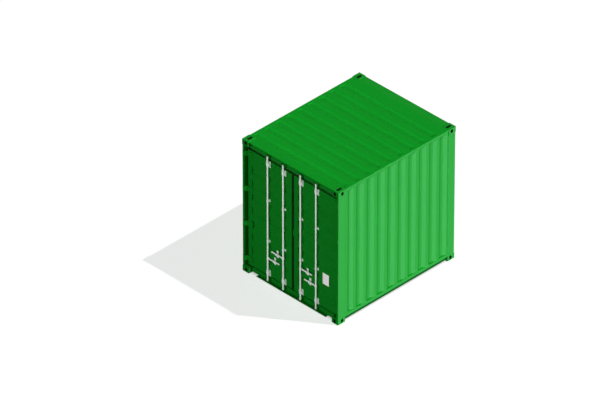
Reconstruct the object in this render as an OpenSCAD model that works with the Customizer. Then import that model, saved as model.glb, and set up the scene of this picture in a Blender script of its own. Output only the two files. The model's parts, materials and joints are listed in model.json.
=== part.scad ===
// Ten foot high-cube steel freight container with a pair of doors at one end.
// Millimetres. The origin is at the bottom centre, +X runs from the door end to the blind end, +Z is up.
// u is measured in from the door plane, v is measured in from a side plane, z is measured up from the ground.

/* [Container] */
// Outside length from the door end to the blind end
length = 2991; // [2700:1:3600]
// Outside width across the doors
width = 2438; // [2380:1:2500]
// Outside height
height = 2896; // [2590:1:2896]

/* [Corner castings] */
// Length of a casting along the container
casting_l = 178; // [170:1:190]
// Width of a casting across the container
casting_w = 162; // [156:1:175]
// Height of a casting
casting_h = 118; // [114:1:124]
// Length of the twist lock slot
slot_l = 124; // [118:0.5:128]
// Width of the twist lock slot
slot_w = 63.5; // [60:0.5:66]
// Distance from the end face to the middle of the slot
slot_from_end = 102; // [98:0.5:106]
// Distance from the side face to the middle of the slot
slot_from_side = 89.5; // [86:0.5:92]
// Thickness of the slotted wall
slot_wall = 28; // [24:0.5:32]
// Thickness of the two outer walls
face_wall = 15; // [12:0.5:18]
// Thickness of the hidden walls
back_wall = 10; // [8:0.5:12]
// Height of the lashing eyes in the outer walls
eye_h = 79.5; // [74:0.5:84]
// Width of the lashing eyes
eye_w = 63.5; // [58:0.5:66]

/* [Posts] */
// Distance that posts stand in from the outer faces of the castings
post_inset = 5; // [4:0.5:6]
// Thickness of a post across the container
post_w = 45; // [42:0.5:50]
// Wall of a post
post_wall = 6; // [4:0.5:8]

/* [Rails] */
// Distance that the rails stand in from the faces of the castings
rail_inset = 10; // [9:0.5:12]
// Depth of the roof below the tops of the castings
roof_drop = 6; // [5:0.5:8]
// Side of the square top rail
top_rail = 60; // [50:1:70]
// Wall of the top rail
top_rail_wall = 3; // [3:0.5:5]
// Width of a bottom rail across its flanges
bottom_rail_w = 48; // [44:1:52]
// Height of the underside of a bottom rail
bottom_rail_z = 48; // [44:1:54]
// Height of the top of a bottom rail
bottom_rail_top = 158; // [154:1:164]
// Height of the fold that steps the lower half of a bottom rail in
bottom_rail_fold = 95; // [88:1:104]
// Wall of a bottom rail
bottom_rail_wall = 5; // [4:0.5:6]

/* [Wall sheets] */
// Thickness of the wall and roof sheets
sheet_t = 2; // [1.6:0.1:3]
// Distance from the side plane to the outer flats of a wall sheet
sheet_inset = 14; // [13:0.5:16]
// Depth of a wall groove
wave_depth = 36; // [30:0.5:38]
// Run of a sloping face of a wall groove
wave_slope = 64; // [56:0.5:68]
// Width of the bottom of a wall groove
wave_inner = 64; // [56:0.5:70]
// Distance from one wall groove to the next
wave_pitch = 266; // [256:0.5:280]
// Flat strip between a post and the first groove
wave_lead = 72; // [60:0.5:80]
// Width of the bottom of the narrow first groove
first_inner = 11; // [8:0.5:16]
// Flat strip left at the blind end of a side wall at least
wave_tail = 30; // [20:0.5:40]
// Distance from one groove of the blind end wall to the next
end_pitch = 250; // [240:0.5:270]

/* [Roof] */
// Depth of a roof groove
roof_depth = 14; // [10:0.5:24]
// Run of a sloping face of a roof groove
roof_slope = 48; // [40:0.5:54]
// Width of the bottom of a roof groove
roof_inner = 50; // [40:0.5:60]
// Distance from one roof groove to the next
roof_pitch = 277; // [260:0.5:290]
// Flat strip before the first roof groove
roof_lead = 24; // [20:0.5:30]

/* [Floor] */
// Height of the top of the cross members
beam_top = 150; // [148:1:152]
// Height of a cross member
beam_h = 110; // [100:1:122]
// Width of the flanges of a cross member
beam_w = 45; // [40:1:50]
// Wall of a cross member
beam_wall = 4.5; // [4:0.5:6]
// Distance from the castings to the first and the last cross member
beam_end_gap = 10; // [5:1:20]
// Distance between cross members at most
beam_pitch = 290; // [260:1:320]
// Thickness of the plywood floor
floor_t = 28; // [24:1:30]
// Width of the steel strip along the middle of the floor
centre_rail_w = 75; // [60:1:90]
// Wall of the steel strip along the middle of the floor
centre_rail_wall = 4; // [3:0.5:5]

/* [Door frame] */
// Distance from the door plane to the webs of the header and the sill
web_depth = 80; // [78:1:84]
// Plate thickness of the header and the sill
plate_t = 6; // [5:0.5:8]
// Distance from the top of the castings to the underside of the header
header_drop = 184; // [180:1:190]
// Distance from the door plane to the drip lip of the header
lip_depth = 6; // [4:0.5:10]
// Height of the drip lip of the header
lip_h = 24; // [16:1:30]
// Height of the top of the sill under the doors
sill_top = 118; // [116:1:119]
// Height of the underside of the sill
sill_bottom = 14; // [10:1:20]
// Distance from the door plane to the lip of the sill
sill_lip_depth = 15; // [10:1:18]
// Height of the lip of the sill
sill_lip_h = 20; // [14:1:22]
// Length left open beside each casting in the lip of the sill
sill_notch = 170; // [120:1:200]
// Distance from the door plane to the step up to the floor
step_depth = 132; // [130:1:138]

/* [Door leaves] */
// Distance from the door plane to the outer face of a leaf
leaf_face = 72; // [71:0.5:74]
// Thickness of a leaf
leaf_t = 50; // [46:0.5:52]
// Distance from the side plane to the hinge edge of a leaf
leaf_side = 80; // [78:0.5:84]
// Gap between the two leaves
leaf_gap = 60; // [50:0.5:70]
// Height of the bottom of a leaf above the top of the sill
leaf_bottom_gap = 28; // [26:0.5:34]
// Gap between the top of a leaf and the header
leaf_top_gap = 40; // [36:0.5:46]
// Width of the upright tubes of a leaf
stile_w = 95; // [85:1:105]
// Height of the channels across the top and bottom of a leaf
cross_h = 140; // [130:1:150]
// Wall of the tubes and channels of a leaf
leaf_wall = 4; // [3:0.5:5]
// Distance from one panel groove to the next
panel_pitch = 296; // [280:1:310]
// Width of the outer flats between panel grooves
panel_outer = 114; // [100:1:120]
// Run of a sloping face of a panel groove
panel_slope = 37; // [30:0.5:42]
// Depth of a panel groove
panel_depth = 20; // [14:0.5:30]
// Depth of the door seal along the container
seal_t = 18; // [14:0.5:20]
// Reach of the seal beyond the hinge edge of a leaf
seal_reach = 11; // [8:0.5:12]
// Reach of the seal into the gap between the leaves
seal_centre = 20; // [16:0.5:22]
// Reach of the seal above a leaf
seal_top = 28; // [22:0.5:30]
// Reach of the seal below a leaf
seal_bottom = 20; // [16:0.5:22]

/* [Hinges] */
// Distance of a hinge pin from the door plane and from the side plane
pin_inset = 13; // [12.5:0.1:14]
// Radius of a hinge pin
pin_r = 8; // [7:0.1:9]
// Radius of a hinge barrel and of the lugs round a pin
barrel_r = 12.5; // [11.5:0.1:12.5]
// Height of a hinge barrel
barrel_h = 110; // [90:1:130]
// Thickness of a lug
lug_t = 14; // [10:0.5:18]
// Number of hinges on a leaf
hinge_count = 4; // [3:1:5]
// Height of the lowest hinge
hinge_first = 280; // [260:1:300]
// Distance from the top of the castings to the highest hinge
hinge_last = 316; // [300:1:340]
// Thickness of the strap of a hinge blade
strap_t = 10; // [8:0.5:11]
// Thickness of the pad of a hinge blade
pad_t = 8; // [6:0.5:9]
// Length of the pad of a hinge blade
pad_l = 116; // [90:1:140]
// Radial clearance of a pin in its barrel
pin_clearance = 0.1; // [0.05:0.05:0.2]
// Space above and below a hinge barrel
barrel_gap = 1; // [0.5:0.1:2]
// Distance along the container from a pin to the post's hinge pocket at the side plane
pocket_side = 27; // [25:0.5:30]
// Distance along the container from a pin to the point of the hinge pocket
pocket_point = 14; // [13.5:0.5:16]
// Distance across the container from a pin to the point of the hinge pocket
pocket_point_v = 2; // [0:0.5:4]
// Distance along the container from a pin to the inner end of the hinge pocket
pocket_far = 43; // [40:0.5:46]
// Distance from the hinge edge of a leaf to the pad of a hinge blade
pad_edge = 4; // [2:0.5:8]

/* [Lock gear] */
// Diameter of a lock bar
bar_d = 34; // [30:0.5:36]
// Distance from the door plane to the axis of a lock bar
bar_depth = 44; // [42:0.5:45]
// Distance of the inner lock bars from the middle of the doors
inner_bar_y = 219; // [210:0.5:240]
// Distance of the outer lock bars from the middle of the doors
outer_bar_y = 614; // [600:0.5:650]
// Height of the bottom end of a lock bar
bar_bottom = 44; // [42:1:50]
// Distance from the top of the castings to the top end of a lock bar
bar_top_drop = 109; // [100:1:115]
// Radius of the round body of a cam
cam_r = 20; // [18:0.5:21]
// Reach of a cam nose from the axis of its bar
cam_reach = 30; // [26:0.5:31]
// Radius of the tip of a cam nose
cam_tip_r = 12; // [9:0.5:14]
// Height of a cam
cam_h = 40; // [32:1:46]
// Length of a lock bar beyond a cam
cam_end = 8; // [5:0.5:10]
// Distance from the axis of a bar to the inside of a keeper horn
keeper_half = 35; // [34:0.5:38]
// Thickness of a keeper horn
keeper_t = 10; // [8:0.5:12]
// Height of a keeper horn
keeper_h = 58; // [50:1:60]
// Distance from the door plane to the tip of a keeper horn
keeper_depth = 32; // [28:1:36]
// Chamfer on the tip of a keeper horn
keeper_chamfer = 14; // [8:1:18]
// Height of the lower small guides
guide_low = 923; // [900:1:940]
// Height of the upper small guides
guide_high = 1811; // [1790:1:1830]
// Width of a small guide base
small_guide_w = 90; // [80:1:100]
// Height of a small guide base
small_guide_h = 50; // [44:1:56]
// Width of an end guide base
end_guide_w = 104; // [90:1:116]
// Height of an end guide base
end_guide_h = 128; // [110:1:130]
// Thickness of a guide base
guide_base_t = 6; // [5:0.5:8]
// Wall of a guide strap round a bar
guide_wall = 4.5; // [4:0.5:5]
// Radial clearance of a bar in its guides
guide_clearance = 0.5; // [0.3:0.1:0.7]
// Width of the shoulders of an end guide, behind the axis of its bar
shoulder_w = 76; // [66:1:80]
// Height of the strap of an end guide
end_strap_h = 70; // [60:1:80]
// Height of the strap of a small guide
small_strap_h = 36; // [30:1:42]
// Height of the collar that carries a bar on its lower guide
collar_h = 14; // [10:1:18]

/* [Handles] */
// Height of the handles on the outer lock bars
outer_handle_z = 550; // [540:1:565]
// Height of the handles on the inner lock bars
inner_handle_z = 735; // [725:1:745]
// Reach of a handle from the axis of its bar
handle_reach = 300; // [270:1:320]
// Height of a handle bar
handle_h = 28; // [24:0.5:32]
// Thickness of a handle bar
handle_t = 12; // [10:0.5:14]
// Radius of the collar that carries a handle
hub_r = 22; // [21:0.5:23]
// Height of the collar that carries a handle
hub_h = 52; // [44:1:60]
// Distance from the axis of a bar to the pivot of its handle
pivot_reach = 38; // [37.5:0.5:42]
// Radius of the pivot pin of a handle
pivot_r = 6; // [5:0.1:7]
// Thickness of the ears that hold a handle
ear_t = 6; // [5:0.5:7]
// Space between a handle and each of its ears
ear_clearance = 0.5; // [0.3:0.1:0.8]
// Distance from the axis of a bar to the middle of a retainer
retainer_reach = 165; // [150:1:185]
// Width of a retainer
retainer_w = 46; // [40:1:56]
// Height of a retainer plate
retainer_h = 150; // [140:1:160]
// Thickness of a retainer plate
retainer_t = 6; // [5:0.5:8]
// Distance from the door plane to the tip of a retainer shelf
shelf_depth = 30; // [28:0.5:34]
// Thickness of a retainer shelf
shelf_t = 8; // [6:0.5:10]
// Space between a handle and its shelf
shelf_gap = 0.5; // [0.3:0.1:0.8]

/* [Door fittings] */
// Height of the middle of the centre block
block_z = 1411; // [1380:1:1440]
// Height of the centre block
block_h = 140; // [110:1:160]
// Thickness of the centre block along the container
block_t = 22; // [16:1:28]
// Distance from the outer face of a leaf to the centre block
block_depth = 4; // [2:0.5:8]
// Width of the centre block, from the edge of the right leaf into the gap
block_w = 26; // [20:0.5:26]
// Distance from the small guides of the outer bar to the data plate
plate_gap = 101; // [90:1:110]
// Height of the middle of the data plate
plate_z = 788; // [770:1:830]
// Width of the data plate
plate_w = 155; // [140:1:180]
// Height of the data plate
plate_h = 240; // [220:1:260]
// Thickness of the data plate
data_plate_t = 2.5; // [2:0.5:4]

/* [Hidden] */
$fn = 48;
cut = 1;
gap_y = leaf_gap / 2;
roof_top = height - roof_drop;
rail_top = roof_top - sheet_t;
top_rail_z = rail_top - top_rail;
post_v = post_inset + post_w;
post_h = height - 2 * casting_h;
casting_under = height - casting_h;
rail_span = length - 2 * casting_l;
castings_span = width - 2 * casting_w;
posts_span = width - 2 * post_v;
header_z = height - header_drop;
leaf_z = sill_top + leaf_bottom_gap;
leaf_top = header_z - leaf_top_gap;
leaf_h = leaf_top - leaf_z;
leaf_w = width / 2 - leaf_side - gap_y;
floor_top = beam_top + floor_t;
hinge_step = (height - hinge_last - hinge_first) / (hinge_count - 1);
notch_h = barrel_h + 2 * barrel_gap;
lug_hole_r = pin_r + pin_clearance;
bar_top = height - bar_top_drop;
bar_r = bar_d / 2;
bore_r = bar_r + guide_clearance;
strap_r = bore_r + guide_wall;
low_guide_z = leaf_z + cross_h / 2;
high_guide_z = leaf_top - cross_h / 2;
low_cam_z = bar_bottom + cam_end;
high_cam_z = bar_top - cam_end - cam_h;
ear_space = handle_t + 2 * ear_clearance;
plate_y = outer_bar_y + (small_guide_w + plate_w) / 2 + plate_gap;
steel_green = [0.04, 0.50, 0.12];
zinc_grey = [0.76, 0.80, 0.77];
rubber_black = [0.03, 0.03, 0.03];

// Placing helpers

// Right half, seen facing the doors: children are in u, v and z.
module right_side() {
    translate([-length / 2, -width / 2, 0])
        children();
}

// The same children on the left half.
module left_side() {
    mirror([0, 1, 0])
        right_side()
            children();
}

// The same children at the blind end of the right half.
module front_right() {
    mirror([1, 0, 0])
        right_side()
            children();
}

module front_left() {
    mirror([0, 1, 0])
        front_right()
            children();
}

module all_corners() {
    right_side()
        children();
    left_side()
        children();
    front_right()
        children();
    front_left()
        children();
}

// Profile with u and z as its axes, run along the width of the container.
module across(span) {
    translate([-length / 2, span / 2, 0])
        rotate([90, 0, 0])
            linear_extrude(span)
                children();
}

// The same at the blind end, with u measured in from there.
module front_across(span) {
    mirror([1, 0, 0])
        across(span)
            children();
}

// Profile with v and z as its axes, run along the right side from casting to casting.
module along_right() {
    translate([-rail_span / 2, -width / 2, 0])
        rotate([90, 0, 90])
            linear_extrude(rail_span)
                children();
}

module rectangle(low, high) {
    translate(low)
        square(high - low);
}

// Sheet profiles

// Corners of one groove that starts at s, as distance along and depth.
function groove(s, slope, inner, depth) = [
    [s, 0],
    [s + slope, depth],
    [s + slope + inner, depth],
    [s + 2 * slope + inner, 0]
];

function joined(lists) = [for (list = lists) for (item = list) item];

// Outer line of a grooved sheet and the same line moved in by the sheet's thickness.
function sheet_points(line, t) = concat(
    line,
    [for (i = [len(line) - 1:-1:0]) line[i] + [0, t]]
);

function swapped(points) = [for (p = points) [p[1], p[0]]];

// Castings

module stadium(long, wide) {
    square([long - wide, wide], center = true);
    for (end = [-1, 1])
        translate([end * (long - wide) / 2, 0])
            circle(d = wide);
}

module corner_casting() {
    difference() {
        cube([casting_l, casting_w, casting_h]);
        translate([face_wall, face_wall, slot_wall])
            cube([
                casting_l - face_wall - back_wall,
                casting_w - face_wall - back_wall,
                casting_h - slot_wall - back_wall
            ]);
        translate([slot_from_end, slot_from_side, -cut])
            linear_extrude(slot_wall + 2 * cut)
                stadium(slot_l, slot_w);
        translate([slot_from_end, face_wall + cut, casting_h / 2])
            rotate([90, 90, 0])
                linear_extrude(face_wall + 2 * cut)
                    stadium(eye_h, eye_w);
        translate([-cut, slot_from_side, casting_h / 2])
            rotate([0, 90, 0])
                linear_extrude(face_wall + 2 * cut)
                    stadium(eye_h, eye_w);
    }
}

module lower_corner_castings() {
    color(steel_green)
        all_corners()
            corner_casting();
}

module upper_corner_castings() {
    color(steel_green)
        translate([0, 0, height])
            mirror([0, 0, 1])
                all_corners()
                    corner_casting();
}

// Posts

module post_outline() {
    rectangle([post_inset, post_inset], [casting_l, post_v]);
}

module post_ring() {
    difference() {
        post_outline();
        rectangle(
            [post_inset + post_wall, post_inset + post_wall],
            [casting_l - post_wall, post_v - post_wall]
        );
    }
}

// What is left of the post beside a hinge, clear of the barrel and of the strap's swing.
module hinge_pocket_outline() {
    polygon([
        [pin_inset + pocket_side, post_inset],
        [pin_inset + pocket_point, pin_inset + pocket_point_v],
        [pin_inset + pocket_far, post_v],
        [casting_l, post_v],
        [casting_l, post_inset]
    ]);
}

module hinge_pocket_wall() {
    difference() {
        hinge_pocket_outline();
        translate([post_wall, 0])
            hinge_pocket_outline();
    }
}

module lug_outline() {
    difference() {
        union() {
            rectangle([post_inset, post_inset], [pin_inset + pocket_far + post_wall, post_v]);
            translate([pin_inset, pin_inset])
                circle(r = barrel_r);
        }
        translate([pin_inset, pin_inset])
            circle(r = lug_hole_r);
    }
}

module at_hinges() {
    for (i = [0:hinge_count - 1])
        translate([0, 0, hinge_first + i * hinge_step])
            children();
}

module rear_post() {
    difference() {
        translate([0, 0, casting_h])
            linear_extrude(post_h)
                post_ring();
        at_hinges()
            linear_extrude(notch_h, center = true)
                difference() {
                    rectangle([0, 0], [pin_inset + pocket_far + post_wall, post_v + cut]);
                    hinge_pocket_outline();
                }
        at_hinges()
            translate([pin_inset, pin_inset, 0])
                cylinder(r = lug_hole_r, h = notch_h + 2 * lug_t, center = true);
    }
    at_hinges() {
        linear_extrude(notch_h, center = true)
            hinge_pocket_wall();
        for (end = [0, 1])
            mirror([0, 0, end])
                translate([0, 0, notch_h / 2])
                    linear_extrude(lug_t)
                        lug_outline();
    }
}

module front_post() {
    translate([0, 0, casting_h])
        linear_extrude(post_h)
            post_ring();
}

module rear_left_post() {
    color(steel_green)
        left_side()
            rear_post();
}

module rear_right_post() {
    color(steel_green)
        right_side()
            rear_post();
}

module front_left_post() {
    color(steel_green)
        front_left()
            front_post();
}

module front_right_post() {
    color(steel_green)
        front_right()
            front_post();
}

module hinge_pin_row() {
    translate([pin_inset, pin_inset, 0])
        at_hinges()
            cylinder(r = pin_r, h = notch_h + 2 * lug_t, center = true);
}

module hinge_pins() {
    color(zinc_grey) {
        left_side()
            hinge_pin_row();
        right_side()
            hinge_pin_row();
    }
}

// Rails

module top_rail_profile() {
    difference() {
        rectangle([rail_inset, top_rail_z], [rail_inset + top_rail, rail_top]);
        rectangle(
            [rail_inset + top_rail_wall, top_rail_z + top_rail_wall],
            [rail_inset + top_rail - top_rail_wall, rail_top - top_rail_wall]
        );
    }
}

// Folded plate: the upper half is open to the inside, the lower half to the outside.
module bottom_rail_profile() {
    inner_v = rail_inset + bottom_rail_w;
    fold_top = bottom_rail_fold + bottom_rail_wall;
    difference() {
        rectangle([rail_inset, bottom_rail_z], [inner_v, bottom_rail_top]);
        rectangle(
            [rail_inset + bottom_rail_wall, fold_top],
            [inner_v + cut, bottom_rail_top - bottom_rail_wall]
        );
        rectangle(
            [rail_inset - cut, bottom_rail_z + bottom_rail_wall],
            [inner_v - bottom_rail_wall, bottom_rail_fold]
        );
    }
}

module right_top_rail() {
    color(steel_green)
        along_right()
            top_rail_profile();
}

module left_top_rail() {
    mirror([0, 1, 0])
        right_top_rail();
}

module right_bottom_rail() {
    color(steel_green)
        along_right()
            bottom_rail_profile();
}

module left_bottom_rail() {
    mirror([0, 1, 0])
        right_bottom_rail();
}

// The tube runs between the castings with a thin plate on it that meets the roof,
// and its lower plate runs under the castings from post to post.
module front_top_rail() {
    color(steel_green) {
        front_across(castings_span)
            difference() {
                rectangle([rail_inset, casting_under - plate_t], [rail_inset + top_rail, rail_top]);
                rectangle(
                    [rail_inset + top_rail_wall, casting_under],
                    [rail_inset + top_rail - top_rail_wall, rail_top - top_rail_wall]
                );
            }
        front_across(castings_span)
            rectangle([rail_inset, rail_top - top_rail_wall], [rail_inset + top_rail, roof_top]);
        front_across(castings_span)
            rectangle([rail_inset, rail_top], [casting_l, roof_top]);
        front_across(posts_span)
            rectangle(
                [rail_inset, casting_under - plate_t],
                [rail_inset + top_rail, casting_under]
            );
    }
}

// The lower part of the channel runs between the castings, and the part above them from post to post.
module front_bottom_rail() {
    color(steel_green) {
        front_across(castings_span)
            intersection() {
                bottom_rail_profile();
                rectangle([0, 0], [casting_l, casting_h]);
            }
        front_across(posts_span)
            intersection() {
                bottom_rail_profile();
                rectangle([0, casting_h], [casting_l, height]);
            }
    }
}

// Door header and sill

module header_box_profile() {
    difference() {
        rectangle([web_depth, header_z], [casting_l, roof_top]);
        rectangle(
            [web_depth + plate_t, header_z + plate_t],
            [casting_l - plate_t, roof_top - plate_t]
        );
    }
}

module door_header() {
    color(steel_green) {
        across(castings_span) {
            header_box_profile();
            rectangle([lip_depth, roof_top - plate_t], [web_depth + plate_t, roof_top]);
            rectangle([lip_depth, roof_top - lip_h], [lip_depth + plate_t, roof_top]);
        }
        across(posts_span)
            intersection() {
                header_box_profile();
                rectangle([0, 0], [casting_l, casting_under]);
            }
    }
}

module door_sill() {
    color(steel_green) {
        across(castings_span) {
            rectangle([web_depth, sill_bottom], [web_depth + plate_t, sill_top]);
            rectangle([web_depth, sill_top - plate_t], [casting_l, sill_top]);
        }
        across(castings_span - 2 * sill_notch) {
            rectangle([sill_lip_depth, sill_bottom], [web_depth + plate_t, sill_bottom + plate_t]);
            rectangle(
                [sill_lip_depth, sill_bottom],
                [sill_lip_depth + plate_t, sill_bottom + sill_lip_h]
            );
        }
        across(posts_span) {
            rectangle([step_depth, sill_top], [step_depth + plate_t, floor_top]);
            rectangle([step_depth, floor_top - plate_t], [casting_l, floor_top]);
        }
    }
}

// Walls and roof

side_first = casting_l + wave_lead;
side_second = side_first + 2 * wave_slope + first_inner + wave_pitch - 2 * wave_slope - wave_inner;
side_end = length - casting_l;
side_grooves = floor((side_end - wave_tail - side_second - 2 * wave_slope - wave_inner) / wave_pitch) + 1;
side_line = concat(
    [[casting_l, 0]],
    groove(side_first, wave_slope, first_inner, wave_depth),
    joined([
        for (i = [0:side_grooves - 1])
            groove(side_second + i * wave_pitch, wave_slope, wave_inner, wave_depth)
    ]),
    [[side_end, 0]]
);

module right_side_wall() {
    color(steel_green)
        right_side()
            translate([0, sheet_inset, bottom_rail_top])
                linear_extrude(top_rail_z - bottom_rail_top)
                    polygon(sheet_points(side_line, sheet_t));
}

module left_side_wall() {
    mirror([0, 1, 0])
        right_side_wall();
}

end_groove_w = 2 * wave_slope + wave_inner;
end_grooves = floor((posts_span + end_pitch - end_groove_w) / end_pitch) - 1;
end_lead = (posts_span - (end_grooves - 1) * end_pitch - end_groove_w) / 2;
end_line = concat(
    [[0, 0]],
    joined([
        for (i = [0:end_grooves - 1])
            groove(end_lead + i * end_pitch, wave_slope, wave_inner, wave_depth)
    ]),
    [[posts_span, 0]]
);

module front_wall() {
    color(steel_green)
        front_right()
            translate([sheet_inset, post_v, bottom_rail_top])
                linear_extrude(casting_under - plate_t - bottom_rail_top)
                    polygon(swapped(sheet_points(end_line, sheet_t)));
}

roof_grooves = floor((rail_span - roof_lead - 2 * roof_slope - roof_inner) / roof_pitch) + 1;
roof_line = concat(
    [[casting_l, 0]],
    joined([
        for (i = [0:roof_grooves - 1])
            groove(casting_l + roof_lead + i * roof_pitch, roof_slope, roof_inner, -roof_depth)
    ]),
    [[side_end, 0]]
);

// Grooved middle, a turned-down edge against each top rail and a strip over each rail.
module roof_panel() {
    edge_v = rail_inset + top_rail;
    color(steel_green) {
        across(width - 2 * edge_v)
            polygon([for (p = sheet_points(roof_line, -sheet_t)) p + [0, roof_top]]);
        for (side = [0, 1])
            mirror([0, side, 0])
                right_side()
                    translate([casting_l, rail_inset, 0]) {
                        translate([0, 0, rail_top])
                            cube([rail_span, top_rail + sheet_t, sheet_t]);
                        translate([0, top_rail, rail_top - roof_depth])
                            cube([rail_span, sheet_t, roof_depth + sheet_t]);
                    }
    }
}

// Floor

floor_start = casting_l;
floor_end = length - rail_inset - bottom_rail_w;
floor_v = rail_inset + bottom_rail_w;
beam_first = floor_start + beam_end_gap;
beam_last = length - casting_l - beam_w - beam_end_gap;
beam_count = ceil((beam_last - beam_first) / beam_pitch) + 1;
beam_step = (beam_last - beam_first) / (beam_count - 1);

module floor_crossmembers() {
    color(steel_green)
        for (i = [0:beam_count - 1])
            across(width - 2 * floor_v)
                translate([beam_first + i * beam_step, beam_top - beam_h])
                    difference() {
                        square([beam_w, beam_h]);
                        translate([beam_wall, beam_wall])
                            square([beam_w, beam_h - 2 * beam_wall]);
                    }
}

module floor_panels() {
    panel_w = (width - centre_rail_w) / 2 - floor_v;
    color("burlywood")
        for (side = [0, 1])
            mirror([0, side, 0])
                right_side()
                    translate([floor_start, floor_v, beam_top])
                        cube([floor_end - floor_start, panel_w, floor_t]);
}

module floor_centre_rail() {
    color(steel_green)
        translate([-length / 2 + floor_start, -centre_rail_w / 2, beam_top])
            difference() {
                cube([floor_end - floor_start, centre_rail_w, floor_t]);
                translate([-cut, centre_rail_wall, -cut])
                    cube([
                        floor_end - floor_start + 2 * cut,
                        centre_rail_w - 2 * centre_rail_wall,
                        floor_t - centre_rail_wall + cut
                    ]);
            }
}

// Cam keepers

module keeper_horn() {
    linear_extrude(keeper_t)
        polygon([
            [web_depth, 0],
            [web_depth, keeper_h],
            [keeper_depth + keeper_chamfer, keeper_h],
            [keeper_depth, keeper_h - keeper_chamfer],
            [keeper_depth, keeper_chamfer],
            [keeper_depth + keeper_chamfer, 0]
        ]);
}

module cam_keepers() {
    horn_rise = (keeper_h - cam_h) / 2;
    color(steel_green)
        for (side = [-1, 1], bar_y = [inner_bar_y, outer_bar_y], z = [low_cam_z, high_cam_z], horn = [0, 1])
            translate([-length / 2, side * bar_y, z - horn_rise])
                mirror([0, horn, 0])
                    translate([0, keeper_half + keeper_t, 0])
                        rotate([90, 0, 0])
                            keeper_horn();
}

// Door leaves

module leaf_frame() {
    translate([leaf_face, leaf_side, leaf_z]) {
        for (v = [0, leaf_w - stile_w])
            translate([0, v, 0])
                difference() {
                    cube([leaf_t, stile_w, leaf_h]);
                    translate([leaf_wall, leaf_wall, -cut])
                        cube([
                            leaf_t - 2 * leaf_wall,
                            stile_w - 2 * leaf_wall,
                            leaf_h + 2 * cut
                        ]);
                }
        for (z = [0, leaf_h - cross_h])
            translate([0, stile_w, z])
                difference() {
                    cube([leaf_t, leaf_w - 2 * stile_w, cross_h]);
                    translate([leaf_wall, -cut, leaf_wall])
                        cube([leaf_t, leaf_w - 2 * stile_w + 2 * cut, cross_h - 2 * leaf_wall]);
                }
    }
}

panel_z = leaf_z + cross_h;
panel_h = leaf_h - 2 * cross_h;
panel_inner = panel_pitch - panel_outer - 2 * panel_slope;
panel_grooves = floor((panel_h - panel_outer) / panel_pitch);
panel_first = guide_low - 2 * panel_pitch + panel_outer / 2;
panel_line = concat(
    [[panel_z, 0]],
    joined([
        for (i = [0:panel_grooves - 1])
            groove(panel_first + i * panel_pitch, panel_slope, panel_inner, panel_depth)
    ]),
    [[panel_z + panel_h, 0]]
);

module leaf_panel() {
    translate([leaf_face, leaf_side + leaf_w - stile_w, 0])
        rotate([90, 0, 0])
            linear_extrude(leaf_w - 2 * stile_w)
                polygon(swapped(sheet_points(panel_line, sheet_t)));
}

// Ring of rubber round the edge of a leaf, near its inner face.
module leaf_seal() {
    translate([leaf_face + leaf_t - seal_t, leaf_side, leaf_z])
        difference() {
            translate([0, -seal_reach, -seal_bottom])
                cube([
                    seal_t,
                    leaf_w + seal_reach + seal_centre,
                    leaf_h + seal_bottom + seal_top
                ]);
            translate([-cut, 0, 0])
                cube([seal_t + 2 * cut, leaf_w, leaf_h]);
        }
}

pad_start = leaf_side + pad_edge;
strap_end = [leaf_face - pad_t / 2, pad_start];
strap_start = [pin_inset, pin_inset];
strap_way = (strap_end - strap_start) / norm(strap_end - strap_start);
strap_side = [-strap_way[1], strap_way[0]] * strap_t / 2;

module hinge_blade() {
    linear_extrude(barrel_h, center = true)
        difference() {
            union() {
                translate(strap_start)
                    circle(r = barrel_r);
                polygon([
                    strap_start + strap_side,
                    strap_end + strap_side,
                    strap_end - strap_side,
                    strap_start - strap_side
                ]);
                rectangle([leaf_face - pad_t, pad_start], [leaf_face, pad_start + pad_l]);
            }
            translate(strap_start)
                circle(r = lug_hole_r);
        }
}

// Base plate with a strap round the lock bar at the origin of v and z.
module bar_guide(base_w, base_h, strap_h, block_w) {
    translate([leaf_face - guide_base_t, -base_w / 2, -base_h / 2])
        cube([guide_base_t, base_w, base_h]);
    translate([0, 0, -strap_h / 2])
        linear_extrude(strap_h)
            difference() {
                union() {
                    translate([bar_depth, 0])
                        circle(r = strap_r);
                    rectangle([bar_depth, -block_w / 2], [leaf_face - guide_base_t, block_w / 2]);
                }
                translate([bar_depth, 0])
                    circle(r = bore_r);
            }
}

module leaf_guides() {
    for (bar_y = [inner_bar_y, outer_bar_y])
        translate([0, width / 2 - bar_y, 0]) {
            for (z = [low_guide_z, high_guide_z])
                translate([0, 0, z])
                    bar_guide(end_guide_w, end_guide_h, end_strap_h, shoulder_w);
            for (z = [guide_low, guide_high])
                translate([0, 0, z])
                    bar_guide(small_guide_w, small_guide_h, small_strap_h, 2 * strap_r);
        }
}

// Plate behind the handle with a shelf under it, open in front and above.
module retainer() {
    translate([leaf_face - retainer_t, -retainer_w / 2, -retainer_h / 2])
        cube([retainer_t, retainer_w, retainer_h]);
    translate([shelf_depth, -retainer_w / 2, -handle_h / 2 - shelf_gap - shelf_t])
        cube([leaf_face - shelf_depth, retainer_w, shelf_t]);
}

module leaf_retainers() {
    translate([0, width / 2 - outer_bar_y + retainer_reach, outer_handle_z])
        retainer();
    translate([0, width / 2 - inner_bar_y - retainer_reach, inner_handle_z])
        retainer();
}

module right_door_frame() {
    color(steel_green)
        right_side()
            leaf_frame();
}

module left_door_frame() {
    color(steel_green)
        left_side()
            leaf_frame();
}

module right_door_panel() {
    color(steel_green)
        right_side()
            leaf_panel();
}

module left_door_panel() {
    color(steel_green)
        left_side()
            leaf_panel();
}

module right_door_seal() {
    color(rubber_black)
        right_side()
            leaf_seal();
}

module left_door_seal() {
    color(rubber_black)
        left_side()
            leaf_seal();
}

module right_hinge_blades() {
    color(steel_green)
        right_side()
            at_hinges()
                hinge_blade();
}

module left_hinge_blades() {
    color(steel_green)
        left_side()
            at_hinges()
                hinge_blade();
}

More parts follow.
